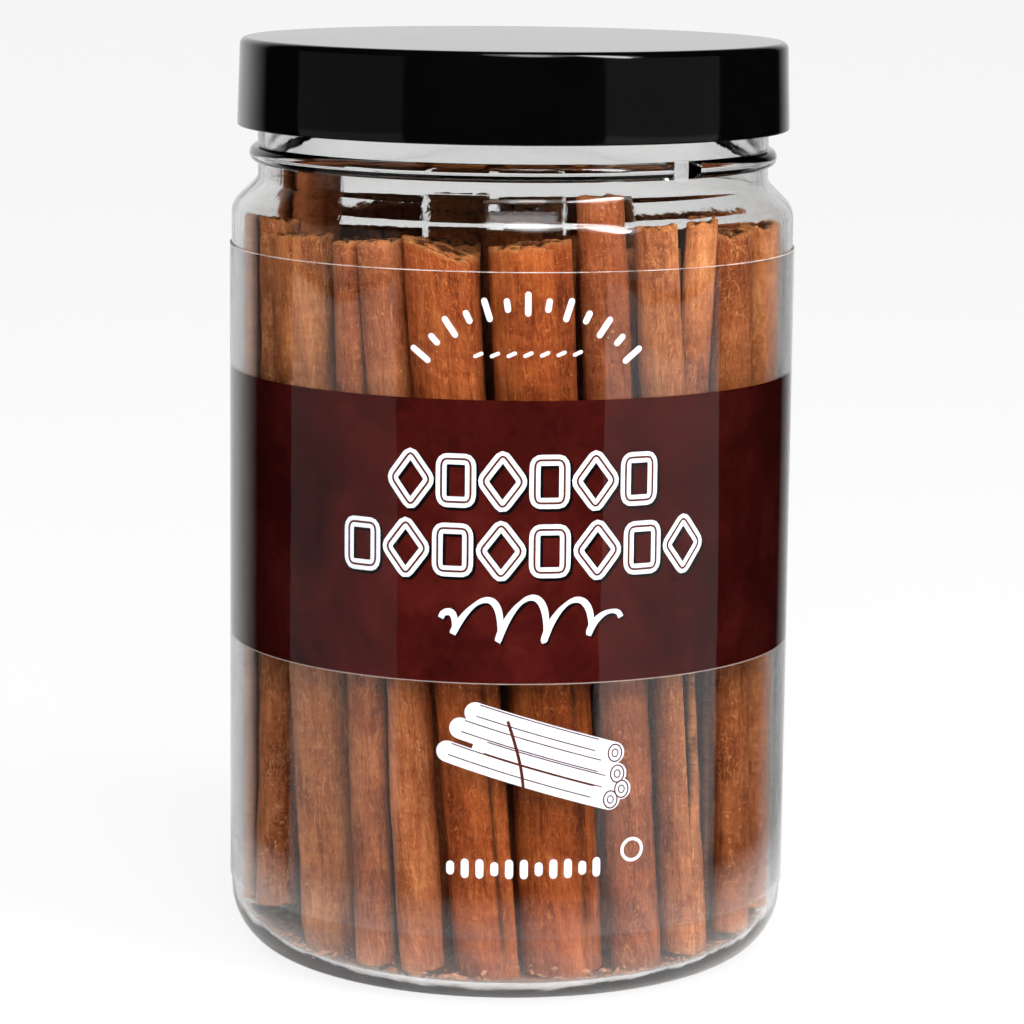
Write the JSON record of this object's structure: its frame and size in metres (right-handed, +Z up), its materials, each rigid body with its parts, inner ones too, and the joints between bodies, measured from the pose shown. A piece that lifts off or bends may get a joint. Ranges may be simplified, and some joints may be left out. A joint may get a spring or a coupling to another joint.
{
  "type": "jar of cinnamon sticks",
  "caption": "Clear screw-top jar with a black lid and a dark film label band, packed with upright rolled cinnamon sticks that lean against its wall.",
  "frame": {"origin": "on the floor at the centre of the jar's base", "axes": "+Z up along the jar's axis, -Y towards the front of the label"},
  "size_m": [0.0944, 0.0944, 0.1534],
  "materials": {
    "clear_plastic": "clear, glossy, lightly streaked",
    "black_plastic": "glossy black, smooth moulded",
    "label_film": "clear glossy film",
    "band_ink": "dark maroon print under glossy film, lightly mottled",
    "pale_ink": "pale bluish-white print under glossy film",
    "cinnamon_bark": "matt fibrous bark, orange-brown to dark brown"
  },
  "bodies": {
    "root": {"jar": "clear_plastic", "lid": "black_plastic", "label": "label_film", "stick_01": "cinnamon_bark", "stick_02": "cinnamon_bark", "stick_03": "cinnamon_bark", "stick_04": "cinnamon_bark", "stick_05": "cinnamon_bark", "stick_06": "cinnamon_bark", "stick_07": "cinnamon_bark", "stick_08": "cinnamon_bark", "stick_09": "cinnamon_bark", "stick_10": "cinnamon_bark", "stick_11": "cinnamon_bark", "stick_12": "cinnamon_bark", "stick_13": "cinnamon_bark", "stick_14": "cinnamon_bark", "stick_15": "cinnamon_bark", "stick_16": "cinnamon_bark", "stick_17": "cinnamon_bark", "stick_18": "cinnamon_bark", "stick_19": "cinnamon_bark", "stick_20": "cinnamon_bark", "stick_21": "cinnamon_bark", "stick_22": "cinnamon_bark", "stick_23": "cinnamon_bark", "stick_24": "cinnamon_bark", "stick_25": "cinnamon_bark", "stick_26": "cinnamon_bark", "stick_27": "cinnamon_bark", "stick_28": "cinnamon_bark", "stick_29": "cinnamon_bark", "stick_30": "cinnamon_bark", "stick_31": "cinnamon_bark", "stick_32": "cinnamon_bark", "stick_33": "cinnamon_bark", "stick_34": "cinnamon_bark", "stick_35": "cinnamon_bark", "stick_36": "cinnamon_bark", "stick_37": "cinnamon_bark"}
  },
  "joints": []
}
